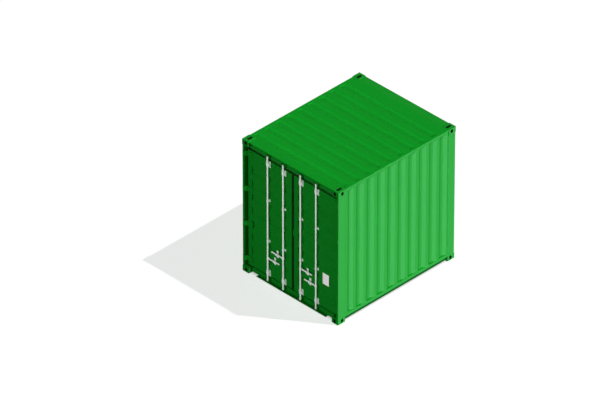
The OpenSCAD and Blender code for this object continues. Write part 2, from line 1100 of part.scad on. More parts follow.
module right_bar_guides() {
    color(zinc_grey)
        right_side()
            leaf_guides();
}

module left_bar_guides() {
    color(zinc_grey)
        left_side()
            leaf_guides();
}

module right_handle_retainers() {
    color(zinc_grey)
        right_side()
            leaf_retainers();
}

module left_handle_retainers() {
    color(zinc_grey)
        left_side()
            leaf_retainers();
}

// Block on the edge of the right leaf, in the gap between the leaves.
module centre_block() {
    color(steel_green)
        translate([-length / 2 + leaf_face + block_depth, -gap_y, block_z - block_h / 2])
            cube([block_t, block_w, block_h]);
}

module data_plate() {
    color("white")
        translate([
            -length / 2 + leaf_face - data_plate_t,
            -plate_y - plate_w / 2,
            plate_z - plate_h / 2
        ])
            cube([data_plate_t, plate_w, plate_h]);
}

// Lock bars and handles

// Cam with its nose towards the inside of the container.
module cam() {
    linear_extrude(cam_h) {
        circle(r = cam_r);
        rectangle([0, -cam_tip_r], [cam_reach - cam_tip_r, cam_tip_r]);
        translate([cam_reach - cam_tip_r, 0])
            circle(r = cam_tip_r);
    }
}

// Collar with two ears and a pin for the handle, which points along +v.
module handle_hub() {
    translate([0, 0, -hub_h / 2])
        cylinder(r = hub_r, h = hub_h);
    for (side = [0, 1])
        mirror([side, 0, 0])
            translate([ear_space / 2, 0, 0])
                rotate([90, 0, 90])
                    linear_extrude(ear_t) {
                        rectangle([0, -handle_h / 2], [pivot_reach, handle_h / 2]);
                        translate([pivot_reach, 0])
                            circle(d = handle_h);
                    }
    translate([-ear_space / 2, pivot_reach, 0])
        rotate([0, 90, 0])
            cylinder(r = pivot_r, h = ear_space);
}

// Lock bar with its axis on the origin of u and v.
module lock_bar(handle_z) {
    translate([0, 0, bar_bottom])
        cylinder(d = bar_d, h = bar_top - bar_bottom);
    for (z = [low_cam_z, high_cam_z])
        translate([0, 0, z])
            cam();
    translate([0, 0, low_guide_z + end_strap_h / 2 + guide_clearance])
        cylinder(r = hub_r, h = collar_h);
    translate([0, 0, handle_z])
        handle_hub();
}

module handle() {
    translate([-handle_t / 2, pivot_reach, 0])
        rotate([90, 0, 90])
            linear_extrude(handle_t)
                difference() {
                    union() {
                        circle(d = handle_h);
                        rectangle(
                            [0, -handle_h / 2],
                            [handle_reach - pivot_reach - handle_h / 2, handle_h / 2]
                        );
                        translate([handle_reach - pivot_reach - handle_h / 2, 0])
                            circle(d = handle_h);
                    }
                    circle(r = pivot_r + pin_clearance);
                }
}

// Children built round a lock bar whose handle points towards the middle of the doors.
module at_right_outer() {
    translate([-length / 2 + bar_depth, -outer_bar_y, 0])
        children();
}

// Children built round a lock bar whose handle points towards the hinges.
module at_right_inner() {
    translate([-length / 2 + bar_depth, -inner_bar_y, 0])
        mirror([0, 1, 0])
            children();
}

module right_outer_lock_bar() {
    color(zinc_grey)
        at_right_outer()
            lock_bar(outer_handle_z);
}

module right_inner_lock_bar() {
    color(zinc_grey)
        at_right_inner()
            lock_bar(inner_handle_z);
}

module left_outer_lock_bar() {
    mirror([0, 1, 0])
        right_outer_lock_bar();
}

module left_inner_lock_bar() {
    mirror([0, 1, 0])
        right_inner_lock_bar();
}

module right_outer_handle() {
    color(zinc_grey)
        at_right_outer()
            translate([0, 0, outer_handle_z])
                handle();
}

module right_inner_handle() {
    color(zinc_grey)
        at_right_inner()
            translate([0, 0, inner_handle_z])
                handle();
}

module left_outer_handle() {
    mirror([0, 1, 0])
        right_outer_handle();
}

module left_inner_handle() {
    mirror([0, 1, 0])
        right_inner_handle();
}

upper_corner_castings();
lower_corner_castings();
rear_left_post();
rear_right_post();
front_left_post();
front_right_post();
left_top_rail();
right_top_rail();
left_bottom_rail();
right_bottom_rail();
front_top_rail();
front_bottom_rail();
door_header();
door_sill();
left_side_wall();
right_side_wall();
front_wall();
roof_panel();
floor_crossmembers();
floor_panels();
floor_centre_rail();
cam_keepers();
hinge_pins();
left_door_frame();
left_door_panel();
left_door_seal();
left_hinge_blades();
left_bar_guides();
left_handle_retainers();
right_door_frame();
right_door_panel();
right_door_seal();
right_hinge_blades();
right_bar_guides();
right_handle_retainers();
centre_block();
data_plate();
left_outer_lock_bar();
left_inner_lock_bar();
right_inner_lock_bar();
right_outer_lock_bar();
left_outer_handle();
left_inner_handle();
right_inner_handle();
right_outer_handle();
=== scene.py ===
# %% [markdown]
# # A green freight container
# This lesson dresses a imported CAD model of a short, tall freight container. The frame gives every
# piece at its real size in metres, with +X from the door end to the blind end and +Z up. Left and
# right are as seen when facing the doors. The camera comes first, then light, finishes, and the
# small things that a press, a welder or a fitter adds.

# %% Load the container
import json
import math

import bmesh
import bpy
from mathutils import Matrix, Vector


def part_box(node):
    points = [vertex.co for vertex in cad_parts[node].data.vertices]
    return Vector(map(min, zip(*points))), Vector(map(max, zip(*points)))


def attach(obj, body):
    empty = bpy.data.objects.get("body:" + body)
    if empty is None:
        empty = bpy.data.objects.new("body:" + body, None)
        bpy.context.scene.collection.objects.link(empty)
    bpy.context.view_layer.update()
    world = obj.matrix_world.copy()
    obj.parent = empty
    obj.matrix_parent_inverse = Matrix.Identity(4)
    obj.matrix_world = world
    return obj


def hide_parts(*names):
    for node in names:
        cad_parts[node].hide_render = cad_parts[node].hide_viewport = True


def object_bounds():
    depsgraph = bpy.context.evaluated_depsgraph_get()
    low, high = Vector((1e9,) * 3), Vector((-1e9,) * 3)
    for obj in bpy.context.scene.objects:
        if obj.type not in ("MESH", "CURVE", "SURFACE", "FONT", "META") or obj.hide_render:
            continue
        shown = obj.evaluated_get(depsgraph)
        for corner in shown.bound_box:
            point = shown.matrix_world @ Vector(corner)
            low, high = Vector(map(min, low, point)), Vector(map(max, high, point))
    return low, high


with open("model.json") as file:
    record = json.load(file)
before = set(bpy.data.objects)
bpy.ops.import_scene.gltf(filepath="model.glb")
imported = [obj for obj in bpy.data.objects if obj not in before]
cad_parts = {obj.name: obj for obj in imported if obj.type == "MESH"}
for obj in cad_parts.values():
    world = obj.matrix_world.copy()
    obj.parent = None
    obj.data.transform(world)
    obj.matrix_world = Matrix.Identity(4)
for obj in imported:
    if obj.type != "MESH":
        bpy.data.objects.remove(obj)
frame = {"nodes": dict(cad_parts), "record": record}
cad_low, cad_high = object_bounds()
scene = bpy.context.scene
bodies = frame["record"]["behaviour"]["bodies"]
NODE_BODY = {node: body for body, nodes in bodies.items() for node in nodes}
NODE_SLOT = {part["node"]: part["material_slot"] for part in frame["record"]["subparts"]}
print("nodes:", len(frame["nodes"]), "box:", cad_low, cad_high)

# %% [markdown]
# ## The camera
# The picture is close to an isometric drawing: parallel edges stay parallel. An orthographic
# camera would do, but a very long lens from far away looks the same and keeps its framing rule in
# other views. The numbers come from fitting the container's seven visible corners.

# %% Camera
AZIMUTH = math.radians(-44.94)
ELEVATION = math.radians(35.0)
DISTANCE = 161.0
PIXELS_PER_METRE = 55.423
PICTURE = (600, 400)
SENSOR_MM = 36.0
SIGHT_POINT = Vector((0.0, 0.0, 1.4))
SIGHT_PIXEL = (348.79, 200.55)

back = Vector((
    math.sin(AZIMUTH) * math.cos(ELEVATION),
    -math.cos(AZIMUTH) * math.cos(ELEVATION),
    math.sin(ELEVATION),
))
right = Vector((math.cos(AZIMUTH), math.sin(AZIMUTH), 0.0))
up = back.cross(right)
off_right = (SIGHT_PIXEL[0] - PICTURE[0] / 2) / PIXELS_PER_METRE
off_down = (SIGHT_PIXEL[1] - PICTURE[1] / 2) / PIXELS_PER_METRE
aim = SIGHT_POINT - right * off_right + up * off_down

camera_data = bpy.data.cameras.new("camera")
camera_data.sensor_width = SENSOR_MM
camera_data.lens = SENSOR_MM * PIXELS_PER_METRE * DISTANCE / PICTURE[0]
camera_data.clip_end = 3 * DISTANCE
camera = bpy.data.objects.new("camera", camera_data)
camera.location = aim + back * DISTANCE
camera.rotation_mode = "QUATERNION"
camera.rotation_quaternion = (-back).to_track_quat("-Z", "Y")
scene.collection.objects.link(camera)
scene.camera = camera
scene.view_settings.view_transform = "Standard"
print("lens:", round(camera_data.lens, 1), "mm")

# %% [markdown]
# ## The studio
# The picture has a white ground without a horizon. A bright white world would do that, but it would
# also wash out the dark door end. So only the camera, metal and glass see the world as white, and
# the container gets a faint sky from all sides. World, floor and finishes are all node trees, and
# two helpers keep them short: one makes a node with its values, one tells those rays apart.

# %% Node helpers
def node_tree(owner):
    """The empty node tree of a world or a material."""
    owner.use_nodes = True
    owner.node_tree.nodes.clear()
    return owner.node_tree


def add(tree, kind, **values):
    """A new node, with its properties and its unlinked inputs set by name."""
    node = tree.nodes.new(kind)
    for name, value in values.items():
        if hasattr(node, name):
            setattr(node, name, value)
        else:
            node.inputs[name.replace("_", " ")].default_value = value
    return node


def seen_ray(tree):
    """1 for rays from the camera, off metal or through glass, else 0."""
    path = add(tree, "ShaderNodeLightPath")
    first = add(tree, "ShaderNodeMath", operation="MAXIMUM")
    second = add(tree, "ShaderNodeMath", operation="MAXIMUM")
    tree.links.new(path.outputs["Is Camera Ray"], first.inputs[0])
    tree.links.new(path.outputs["Is Glossy Ray"], first.inputs[1])
    tree.links.new(first.outputs[0], second.inputs[0])
    tree.links.new(path.outputs["Is Transmission Ray"], second.inputs[1])
    return second.outputs[0]


# %% World
AMBIENT = 0.07
SKY = (0.93, 0.97, 1.0, 1.0)
WHITE = (1.0, 1.0, 1.0, 1.0)

world = bpy.data.worlds.new("studio")
scene.world = world
tree = node_tree(world)
soft = add(tree, "ShaderNodeBackground", Color=SKY, Strength=AMBIENT)
white = add(tree, "ShaderNodeBackground", Color=WHITE, Strength=1.0)
mix = add(tree, "ShaderNodeMixShader")
out = add(tree, "ShaderNodeOutputWorld")
tree.links.new(seen_ray(tree), mix.inputs[0])
tree.links.new(soft.outputs[0], mix.inputs[1])
tree.links.new(white.outputs[0], mix.inputs[2])
tree.links.new(mix.outputs[0], out.inputs[0])
print("light from all sides:", AMBIENT)

# %% [markdown]
# ## Lamps
# In the picture the long side is brightest, the roof is a middle tone and the door end is dark.
# One lamp can't give all three, so every lamp has a job of its own, as lamps with black flags have
# in a studio. The main lamp stands on the long side, just behind the plane of the doors. The wall
# sheet has two lamps instead: one high up, which leaves shade under the rail, and one that rakes
# along the sheet, so that each fold has a light and a dark flank. A wide one faces the doors, one
# lights the two far sides for other views, and the last throws the pale shadow on the floor.

# %% Suns
LAMPS = {
    # name: direction towards the lamp, strength, width in degrees
    "main_light": ((0.06, -1.45, 0.76), 4.85, 12.0),
    "wall_light": ((-0.20, -1.28, 1.54), 5.95, 15.0),
    "rake_light": ((-0.94, -0.34, 0.10), 1.55, 12.0),
    "door_light": ((-1.0, 0.0, 0.05), 1.58, 60.0),
    "back_light": ((0.88, 0.47, 0.02), 2.9, 12.0),
    "floor_light": ((1.07, -1.52, 2.90), 1.0, 0.8),
}


def sun(name, towards, strength, width):
    """A far lamp that shines from the direction given."""
    data = bpy.data.lights.new(name, "SUN")
    data.energy = strength
    data.angle = math.radians(width)
    lamp = bpy.data.objects.new(name, data)
    lamp.rotation_mode = "QUATERNION"
    lamp.rotation_quaternion = (-Vector(towards)).to_track_quat("-Z", "Y")
    scene.collection.objects.link(lamp)
    return lamp


lamps = {name: sun(name, *setting) for name, setting in LAMPS.items()}
print("lamps:", list(lamps))

# %% [markdown]
# ## Floor
# The floor is a plain pale sheet. Most of its white is its own, for the camera only, and the rest
# answers a lamp, which is what keeps the shadow as light as the picture's. Beneath the container
# its own white fades out, because a glow there would look like light from under the floor.

# %% Pale floor
FLOOR_HALF = 60.0
FLOOR_DROP = 0.0005
FLOOR_OWN = 0.735
FLOOR_SEEN = 0.86
FLOOR_BOUNCE = 0.30
FADE_INNER = 0.20
FADE_OUTER = 0.02


def open_floor(tree):
    """FLOOR_OWN outside the container's footprint, falling to 0 under it."""
    place = add(tree, "ShaderNodeTexCoord")
    split = add(tree, "ShaderNodeSeparateXYZ")
    tree.links.new(place.outputs["Object"], split.inputs[0])
    sides = []
    for axis, half in (("X", cad_high.x), ("Y", cad_high.y)):
        away = add(tree, "ShaderNodeMath", operation="ABSOLUTE")
        tree.links.new(split.outputs[axis], away.inputs[0])
        side = add(tree, "ShaderNodeMapRange", From_Min=half - FADE_INNER,
                   From_Max=half - FADE_OUTER, To_Max=FLOOR_OWN)
        tree.links.new(away.outputs[0], side.inputs["Value"])
        sides.append(side.outputs[0])
    outside = add(tree, "ShaderNodeMath", operation="MAXIMUM")
    tree.links.new(sides[0], outside.inputs[0])
    tree.links.new(sides[1], outside.inputs[1])
    return outside.outputs[0]


def floor_material():
    material = bpy.data.materials.new("pale_floor")
    tree = node_tree(material)
    seen = seen_ray(tree)
    matt = add(tree, "ShaderNodeBsdfDiffuse")
    tone = add(tree, "ShaderNodeMapRange", To_Min=FLOOR_BOUNCE, To_Max=FLOOR_SEEN)
    tree.links.new(seen, tone.inputs["Value"])
    tree.links.new(tone.outputs[0], matt.inputs["Color"])
    strength = add(tree, "ShaderNodeMath", operation="MULTIPLY")
    tree.links.new(seen, strength.inputs[0])
    tree.links.new(open_floor(tree), strength.inputs[1])
    own = add(tree, "ShaderNodeEmission", Color=WHITE)
    tree.links.new(strength.outputs[0], own.inputs["Strength"])
    both = add(tree, "ShaderNodeAddShader")
    tree.links.new(matt.outputs[0], both.inputs[0])
    tree.links.new(own.outputs[0], both.inputs[1])
    out = add(tree, "ShaderNodeOutputMaterial")
    tree.links.new(both.outputs[0], out.inputs["Surface"])
    return material


def studio_floor():
    mesh = bpy.data.meshes.new("studio_floor")
    z = cad_low.z - FLOOR_DROP
    turns = ((-1, -1), (1, -1), (1, 1), (-1, 1))
    mesh.from_pydata([(a * FLOOR_HALF, b * FLOOR_HALF, z) for a, b in turns], [], [(0, 1, 2, 3)])
    mesh.materials.append(floor_material())
    floor = bpy.data.objects.new("studio_floor", mesh)
    scene.collection.objects.link(floor)
    return floor


floor = studio_floor()
print("floor at z =", round(floor.data.vertices[0].co.z, 4))

# %% [markdown]
# ## Shared grain
# Sprayed paint, rough castings, zinc and rubber all have a fine grain and a slow drift in tone.
# Separate noise nodes in every material would do, but one shader node group is built once and
# placed in each with its own sizes. Its noise lies in the object's own space, so a door carries
# its grain along when it swings.

# %% Grain group
GRAIN_INPUTS = {"Grain Scale": 400.0, "Drift Scale": 1.2, "Drift": 0.06,
                "Roughness": 0.45, "Roughness Drift": 0.08}


def grain_group():
    """Height feeds a bump, Tint multiplies a colour and Sheen is a roughness."""
    group = bpy.data.node_groups.new("surface_grain", "ShaderNodeTree")
    face = group.interface
    for name, value in GRAIN_INPUTS.items():
        socket = face.new_socket(name, in_out="INPUT", socket_type="NodeSocketFloat")
        socket.default_value = value
    for name in ("Height", "Tint", "Sheen"):
        face.new_socket(name, in_out="OUTPUT", socket_type="NodeSocketFloat")
    inside = add(group, "NodeGroupInput")
    outside = add(group, "NodeGroupOutput")
    place = add(group, "ShaderNodeTexCoord")
    fine = add(group, "ShaderNodeTexNoise", Detail=3.0, Roughness=0.6)
    slow = add(group, "ShaderNodeTexNoise", Detail=4.0, Roughness=0.55)
    for texture, scale in ((fine, "Grain Scale"), (slow, "Drift Scale")):
        group.links.new(place.outputs["Object"], texture.inputs["Vector"])
        group.links.new(inside.outputs[scale], texture.inputs["Scale"])
    group.links.new(fine.outputs["Fac"], outside.inputs["Height"])
    centred = add(group, "ShaderNodeMath", operation="SUBTRACT")
    centred.inputs[1].default_value = 0.5
    group.links.new(slow.outputs["Fac"], centred.inputs[0])
    tint = add(group, "ShaderNodeMath", operation="MULTIPLY_ADD")
    tint.inputs[2].default_value = 1.0
    group.links.new(centred.outputs[0], tint.inputs[0])
    group.links.new(inside.outputs["Drift"], tint.inputs[1])
    group.links.new(tint.outputs[0], outside.inputs["Tint"])
    sheen = add(group, "ShaderNodeMath", operation="MULTIPLY_ADD")
    group.links.new(centred.outputs[0], sheen.inputs[0])
    group.links.new(inside.outputs["Roughness Drift"], sheen.inputs[1])
    group.links.new(inside.outputs["Roughness"], sheen.inputs[2])
    group.links.new(sheen.outputs[0], outside.inputs["Sheen"])
    return group


SURFACE_GRAIN = grain_group()
print("grain inputs:", list(GRAIN_INPUTS))

# %% [markdown]
# ## Painted sheen
# The long side is paler and a little less green, most of all on the flanks of the folds that look
# towards the doors. That is a sheen of the lamps, painted into the colour. A paler second
# material would need a seam on every fold. Here a mask from the object's own normal mixes the two
# greens, so the change is smooth and stays on the steel in every view.

# %% Two greens
GREEN = (0.004, 0.285, 0.016)
# paler and less green: a sheen of the lamps, painted into the colour
SHEEN_GREEN = (0.036, 0.280, 0.058)
SHEEN_FACING = (-0.75, -0.66, 0.0)
SIDE_NORMAL_Y = (-0.1, -0.6)


def painted_sheen(tree, plain_green, sheen_colour):
    """A colour that turns from plain green to a painted sheen on long-side faces towards the lamps.
    """
    place = add(tree, "ShaderNodeTexCoord")
    split = add(tree, "ShaderNodeSeparateXYZ")
    tree.links.new(place.outputs["Normal"], split.inputs[0])
    on_side = add(tree, "ShaderNodeMapRange", From_Min=SIDE_NORMAL_Y[0], From_Max=SIDE_NORMAL_Y[1])
    tree.links.new(split.outputs["Y"], on_side.inputs["Value"])
    # faces that look towards the lamps get the most painted sheen
    facing = add(tree, "ShaderNodeVectorMath", operation="DOT_PRODUCT")
    facing.inputs[1].default_value = SHEEN_FACING
    tree.links.new(place.outputs["Normal"], facing.inputs[0])
    mask = add(tree, "ShaderNodeMath", operation="MULTIPLY", use_clamp=True)
    tree.links.new(on_side.outputs[0], mask.inputs[0])
    tree.links.new(facing.outputs["Value"], mask.inputs[1])
    paint = add(tree, "ShaderNodeMix", data_type="RGBA")
    paint.inputs[6].default_value = (*plain_green, 1.0)
    paint.inputs[7].default_value = (*sheen_colour, 1.0)
    tree.links.new(mask.outputs[0], paint.inputs["Factor"])
    return paint.outputs[2]


print("fresh:", GREEN, "chalked:", SHEEN_GREEN)

# %% [markdown]
# ## Finishes
# Each finish is one Principled material, with the shared grain on its colour, its gloss and its
# bump. What is the same all over, such as metallic or specular level, is set on the shader itself.
# The paint is nearly matt. Castings are rougher under it than rolled plate, and painted dark as
# shade inside. The lock gear is dull zinc, and the bare plate is brushed brighter.

# %% Shader helpers
BUMP_DISTANCE = 0.001


def tinted(tree, colour_input, group, skin):
    """Multiply a colour by the grain's tint, and give the shader that colour and the gloss."""
    shade = add(tree, "ShaderNodeMix", data_type="RGBA", blend_type="MULTIPLY")
    shade.inputs["Factor"].default_value = 1.0
    if isinstance(colour_input, tuple):
        shade.inputs[6].default_value = (*colour_input, 1.0)
    else:
        tree.links.new(colour_input, shade.inputs[6])
    tree.links.new(group.outputs["Tint"], shade.inputs[7])
    tree.links.new(shade.outputs[2], skin.inputs["Base Color"])
    tree.links.new(group.outputs["Sheen"], skin.inputs["Roughness"])


def raised(tree, height, strength, skin):
    """Feed a height through a bump into the shader's normal."""
    relief = add(tree, "ShaderNodeBump", Strength=strength, Distance=BUMP_DISTANCE)
    tree.links.new(height, relief.inputs["Height"])
    tree.links.new(relief.outputs[0], skin.inputs["Normal"])


def bare_material(name, specular, metallic=0.0):
    """A material with its shader and a placed grain group, still without colour."""
    material = bpy.data.materials.new(name)
    tree = node_tree(material)
    skin = add(tree, "ShaderNodeBsdfPrincipled")
    skin.inputs["Metallic"].default_value = metallic
    skin.inputs["Specular IOR Level"].default_value = specular
    out = add(tree, "ShaderNodeOutputMaterial")
    tree.links.new(skin.outputs[0], out.inputs["Surface"])
    group = add(tree, "ShaderNodeGroup", node_tree=SURFACE_GRAIN)
    return material, tree, skin, group


# %% Paint, zinc and rubber
CAST_GREEN = tuple(0.97 * c for c in GREEN)
FINISH_TABLE = {
    # finish: colour, values of the grain inputs in their order, bump, specular, metallic
    "green_paint": (GREEN, (260.0, 1.1, 0.10, 0.62, 0.14), 0.10, 0.03, 0.0),
    # the long side's green, with a painted sheen of the lamps mixed in by the normal
    "sheen_painted_green": (GREEN, (260.0, 1.1, 0.10, 0.66, 0.14), 0.10, 0.03, 0.0),
    "cast_paint": (CAST_GREEN, (120.0, 6.0, 0.14, 0.66, 0.12), 0.45, 0.03, 0.0),
    # painted shade: a dark green for the insides of the castings, where shade falls
    "painted_casting_shade": ((0.004, 0.050, 0.009), (90.0, 8.0, 0.30, 0.80, 0.10), 0.5, 0.05, 0.0),
    # painted shade: a dark green for the recess along the bottom rails
    "underseal": ((0.005, 0.150, 0.016), (70.0, 3.0, 0.35, 0.82, 0.12), 0.6, 0.05, 0.0),
    "zinc_steel": ((0.76, 0.82, 0.77), (90.0, 9.0, 0.16, 0.50, 0.16), 0.12, 0.5, 0.55),
    "seal_rubber": ((0.006, 0.010, 0.007), (500.0, 5.0, 0.3, 0.72, 0.1), 0.2, 0.25, 0.0),
    "plate_white": ((0.69, 0.69, 0.68), (300.0, 14.0, 0.05, 0.42, 0.08), 0.05, 0.5, 0.85),
}
# finishes whose faces towards the lamps get the painted sheen
SHEEN_FINISHES = ("sheen_painted_green", "cast_paint")


def finish_material(name, colour, grain, bump, specular, metallic):
    material, tree, skin, group = bare_material(name, specular, metallic)
    for key, value in zip(GRAIN_INPUTS, grain):
        group.inputs[key].default_value = value
    # a painted sheen of the lamps on faces of the long side
    paint = painted_sheen(tree, colour, SHEEN_GREEN) if name in SHEEN_FINISHES else colour
    tinted(tree, paint, group, skin)
    raised(tree, group.outputs["Height"], bump, skin)
    return material


FINISH = {name: finish_material(name, *row) for name, row in FINISH_TABLE.items()}
print("finishes:", sorted(FINISH))

# %% [markdown]
# ## Plywood
# The floor is thick plywood, sealed brown. The grain runs along the container. A wave texture
# would repeat too evenly, so noise stretched along X gives the fibres, and the shared drift gives
# the boards their change of tone.

# %% Plywood
FIBRE_STRETCH = (1.2, 22.0, 22.0)
FIBRE_TONES = ((0.32, (0.15, 0.075, 0.03, 1.0)), (0.70, (0.38, 0.22, 0.105, 1.0)))
PLYWOOD_GRAIN = {"Roughness": 0.55, "Drift Scale": 2.0, "Drift": 0.35}
PLYWOOD_BUMP = 0.25


def plywood():
    material, tree, skin, group = bare_material("plywood", specular=0.3)
    for key, value in PLYWOOD_GRAIN.items():
        group.inputs[key].default_value = value
    place = add(tree, "ShaderNodeTexCoord")
    stretch = add(tree, "ShaderNodeMapping", Scale=FIBRE_STRETCH)
    tree.links.new(place.outputs["Object"], stretch.inputs["Vector"])
    fibre = add(tree, "ShaderNodeTexNoise", Scale=3.0, Detail=6.0, Roughness=0.65, Distortion=0.6)
    tree.links.new(stretch.outputs[0], fibre.inputs["Vector"])
    tone = add(tree, "ShaderNodeValToRGB")
    for stop, (position, colour) in zip(tone.color_ramp.elements, FIBRE_TONES):
        stop.position = position
        stop.color = colour
    tree.links.new(fibre.outputs["Fac"], tone.inputs[0])
    tinted(tree, tone.outputs[0], group, skin)
    raised(tree, fibre.outputs["Fac"], PLYWOOD_BUMP, skin)
    return material


FINISH["plywood"] = plywood()
print("finishes:", len(FINISH))

# %% [markdown]
# ## Dressing the CAD nodes
# Every node takes the finish of its slot in the record. A list of nodes by hand would do, but the
# slots keep the looks in step with the part. Two groups differ: the castings, and the steel of the
# long side with the posts at its ends, whose paint carries a painted sheen of the lamps.

# %% Assign finishes
CAST_NODES = ("upper_corner_castings", "lower_corner_castings")
# the steel of the long side, whose paint carries a painted sheen of the lamps
SHEEN_NODES = ("right_side_wall", "right_top_rail", "right_bottom_rail", "front_right_post",
               "rear_right_post", "right_hinge_blades")


def finish_of(node):
    if node in CAST_NODES:
        return FINISH["cast_paint"]
    if node in SHEEN_NODES:
        return FINISH["sheen_painted_green"]
    return FINISH[NODE_SLOT[node]]


for name, piece in frame["nodes"].items():
    piece.data.materials.clear()
    piece.data.materials.append(finish_of(name))
print("dressed:", len(frame["nodes"]))

# %% [markdown]
# ## Rounded edges
# Steel plate is never knife sharp: a saw, a mill or a thick coat of paint rounds it by a millimetre
# or two, and castings by more. A Bevel modifier would work on triangles and leave their diagonals
# in the corners, so each node is copied, its triangles are merged back into whole faces, and only
# the sharp edges are bevelled. The copy stands for the CAD node.

# %% Mesh helpers
WELD_DISTANCE = 0.00002
FLAT_WITHIN = math.radians(0.5)
ANY_TURN = 181.0


def whole_faces(node):
    """A bmesh of a CAD node with its triangles merged back into flat faces."""
    work = bmesh.new()
    work.from_mesh(frame["nodes"][node].data)
    bmesh.ops.remove_doubles(work, verts=work.verts, dist=WELD_DISTANCE)
    bmesh.ops.dissolve_limit(work, angle_limit=FLAT_WITHIN, verts=work.verts, edges=work.edges)
    return work


def bevel_between(work, least, most, width, segments):
    """Round the edges whose two faces turn by an angle in the range, and count them."""
    low, high = math.radians(least), math.radians(most)
    edges = [e for e in work.edges if len(e.link_faces) == 2 and low < e.calc_face_angle() < high]
    bmesh.ops.bevel(work, geom=edges, offset=width, offset_type="OFFSET", segments=segments,
                    profile=0.5, affect="EDGES", clamp_overlap=True)
    return len(edges)


def piece_from(work, name, finish, body, sharp=40.0):
    """A finished object from a bmesh, riding on a body."""
    bmesh.ops.recalc_face_normals(work, faces=work.faces)
    mesh = bpy.data.meshes.new(name)
    work.to_mesh(mesh)
    work.free()
    mesh.shade_smooth()
    mesh.set_sharp_from_angle(angle=math.radians(sharp))
    mesh.materials.append(finish)
    piece = bpy.data.objects.new(name, mesh)
    scene.collection.objects.link(piece)
    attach(piece, body)
    return piece


def stand_in(work, node, ending):
    """The copy that replaces a node. Its flat faces stay flat right up to their rounded edges."""
    piece = piece_from(work, node + ending, finish_of(node), NODE_BODY[node])
    modifier = piece.modifiers.new("even_shading", "WEIGHTED_NORMAL")
    modifier.keep_sharp = True
    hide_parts(node)
    return piece


# %% Copies with rounded edges
SHARP_FROM = 35.0
EDGE_SEGMENTS = 2
EDGE_RADII = {
    0.0040: CAST_NODES,
    0.0025: ("front_left_post", "front_right_post", "left_top_rail", "right_top_rail",
             "left_bottom_rail", "right_bottom_rail", "rear_left_post", "rear_right_post"),
    0.0015: ("front_top_rail", "front_bottom_rail", "door_header", "door_sill", "left_door_frame",
             "right_door_frame", "left_hinge_blades", "right_hinge_blades", "floor_crossmembers",
             "centre_block", "floor_centre_rail"),
    0.0012: ("left_bar_guides", "right_bar_guides", "left_handle_retainers",
             "right_handle_retainers", "cam_keepers", "hinge_pins", "left_outer_lock_bar",
             "left_inner_lock_bar", "right_inner_lock_bar", "right_outer_lock_bar"),
    0.0024: ("left_outer_handle", "left_inner_handle", "right_inner_handle", "right_outer_handle"),
    0.0006: ("data_plate",),
}
for radius, nodes in EDGE_RADII.items():
    for node in nodes:
        work = whole_faces(node)
        bevel_between(work, SHARP_FROM, ANY_TURN, radius, EDGE_SEGMENTS)
        stand_in(work, node, "_rounded")
print("rounded:", sum(len(nodes) for nodes in EDGE_RADII.values()))

# %% [markdown]
# ## Painted shade in castings and rails
# The inside of a casting and the recess along a bottom rail are painted dark as shade, so
# they stay dark holes and lines in every view. Both are a second material on some faces: those
# well inside the block of a casting, and those below the fold of a rail. A mask by height would
# need a soft edge, and here the change lies exactly on an edge of the steel.

# %% Painted shade as second finishes
CASTING_SKIN = 0.005
RECESS_SHARE = 0.44
END_FACE = 0.9


def solid_boxes(node):
    """Lowest and highest corner of each separate solid of a node."""
    work = bmesh.new()
    work.from_mesh(frame["nodes"][node].data)
    bmesh.ops.remove_doubles(work, verts=work.verts, dist=WELD_DISTANCE)
    seen, boxes = set(), []
    for first in work.verts:
        if first in seen:
            continue
        seen.add(first)
        stack, corners = [first], []
        while stack:
            vert = stack.pop()
            corners.append(vert.co.copy())
            for edge in vert.link_edges:
                other = edge.other_vert(vert)
                if other not in seen:
                    seen.add(other)
                    stack.append(other)
        boxes.append((Vector(map(min, zip(*corners))), Vector(map(max, zip(*corners)))))
    work.free()
    return boxes


def paint_shade_faces(node, finish, covers):
    """Painted shade, as a dark finish on faces of a rounded copy that a test picks; their count."""
    mesh = bpy.data.meshes[node + "_rounded"]
    mesh.materials.append(FINISH[finish])
    for face in mesh.polygons:
        face.material_index = int(covers(face))
    return sum(face.material_index for face in mesh.polygons)


# the faces inside a casting get painted shade
def darken_casting(node):
    boxes = solid_boxes(node)

    def deep_inside(face):
        return any(all(low[i] + CASTING_SKIN < face.center[i] < high[i] - CASTING_SKIN
                       for i in range(3)) for low, high in boxes)

    return paint_shade_faces(node, "painted_casting_shade", deep_inside)


# the faces below a bottom rail's fold get painted shade
def shade_rail_recess(node):
    low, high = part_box(node)
    fold = low.z + RECESS_SHARE * (high.z - low.z)

    def in_recess(face):
        return face.center.z < fold and abs(face.normal.x) < END_FACE

    return paint_shade_faces(node, "underseal", in_recess)


# the prints count faces of painted shade: inside the castings, and in the rail recesses
print("dark faces:", {node: darken_casting(node) for node in CAST_NODES})
print("sealed faces:", {node: shade_rail_recess(node) for node in
                        ("left_bottom_rail", "right_bottom_rail", "front_bottom_rail")})

# %% [markdown]
# ## Rolled sheets
# Walls, roof and door panels are thin sheet, folded in a press. A fold has a radius of a few
# sheet thicknesses, which shows as a soft line where the light changes. Smooth shading alone would
# bend the flats as well, so here only the folds are bevelled, with more segments, and the cut
# edges stay as they are.

# %% Folds in the sheets
FOLD_TURNS = (12.0, 60.0)
FOLD_REACH = 0.007
FOLD_SEGMENTS = 4
SHEETS = ("left_side_wall", "right_side_wall", "front_wall", "roof_panel",
          "left_door_panel", "right_door_panel")


def rolled_copy(node):
    work = whole_faces(node)
    folds = bevel_between(work, *FOLD_TURNS, FOLD_REACH, FOLD_SEGMENTS)
    stand_in(work, node, "_rolled")
    return folds


print("folds:", {node: rolled_copy(node) for node in SHEETS})

